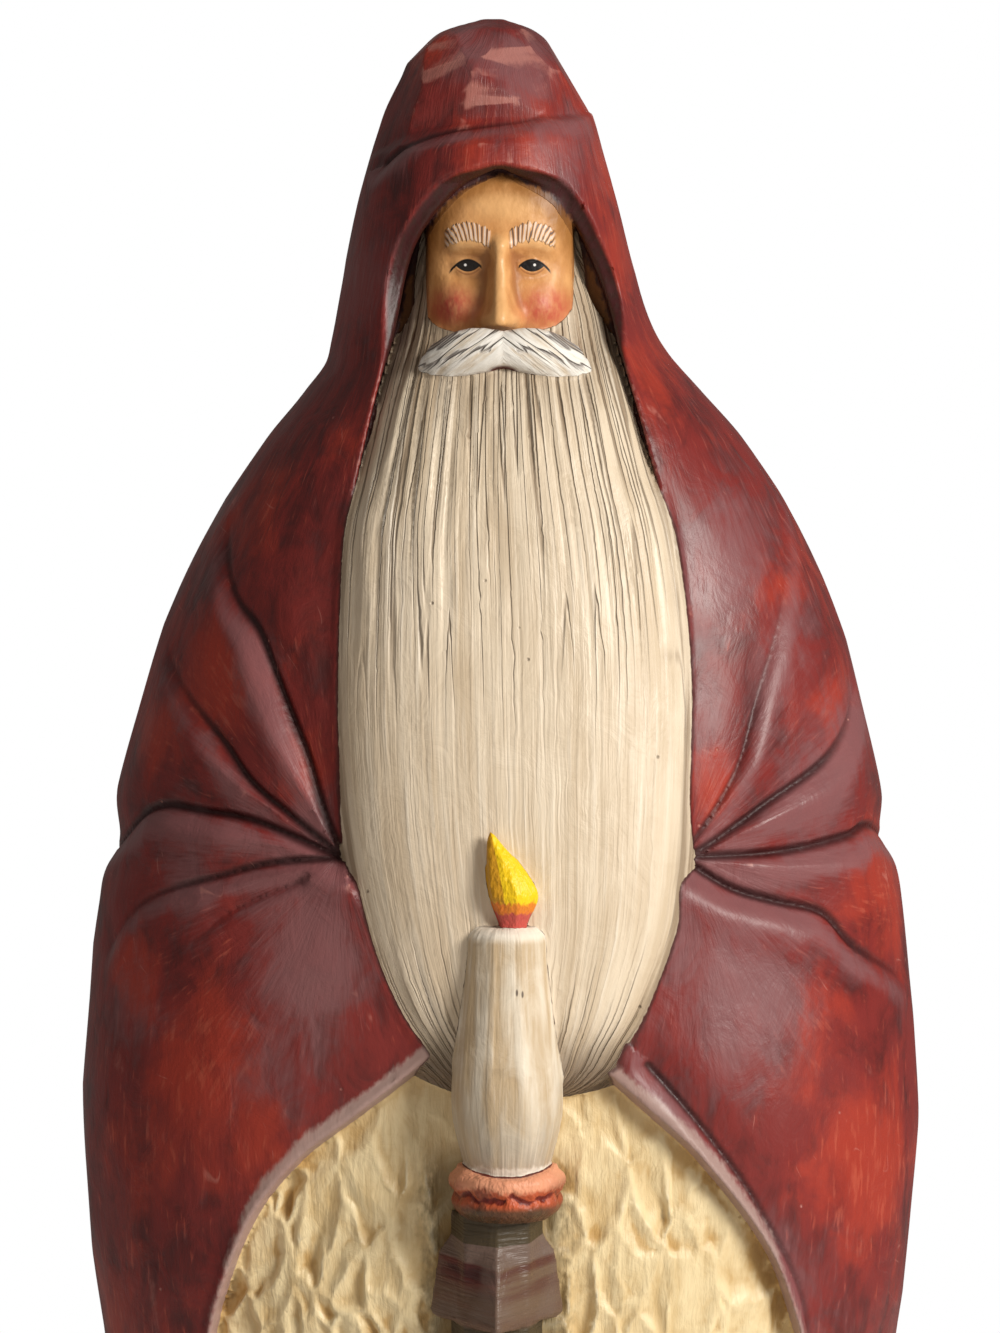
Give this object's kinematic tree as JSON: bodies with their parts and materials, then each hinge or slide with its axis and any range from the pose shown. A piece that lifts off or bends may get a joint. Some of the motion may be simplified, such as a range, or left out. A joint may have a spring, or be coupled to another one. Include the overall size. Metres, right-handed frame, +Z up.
{
  "type": "santa figurine",
  "caption": "Carved and painted wooden figurine of a hooded, long-bearded Santa with a cloak, a gouged robe and a candle, on a low base.",
  "frame": {"origin": "on the table under the middle of the figurine's box", "axes": "+Z up along the figurine's height, -Y towards its front (face and candle), +X to the viewer's right"},
  "size_m": [0.1092, 0.0846, 0.23],
  "materials": {
    "painted_wood": "knife-carved wood in brushed dark red, cream and off-white paint with a brown antique wash and a satin varnish"
  },
  "bodies": {
    "root": {"santa_figurine": "painted_wood"}
  },
  "joints": []
}
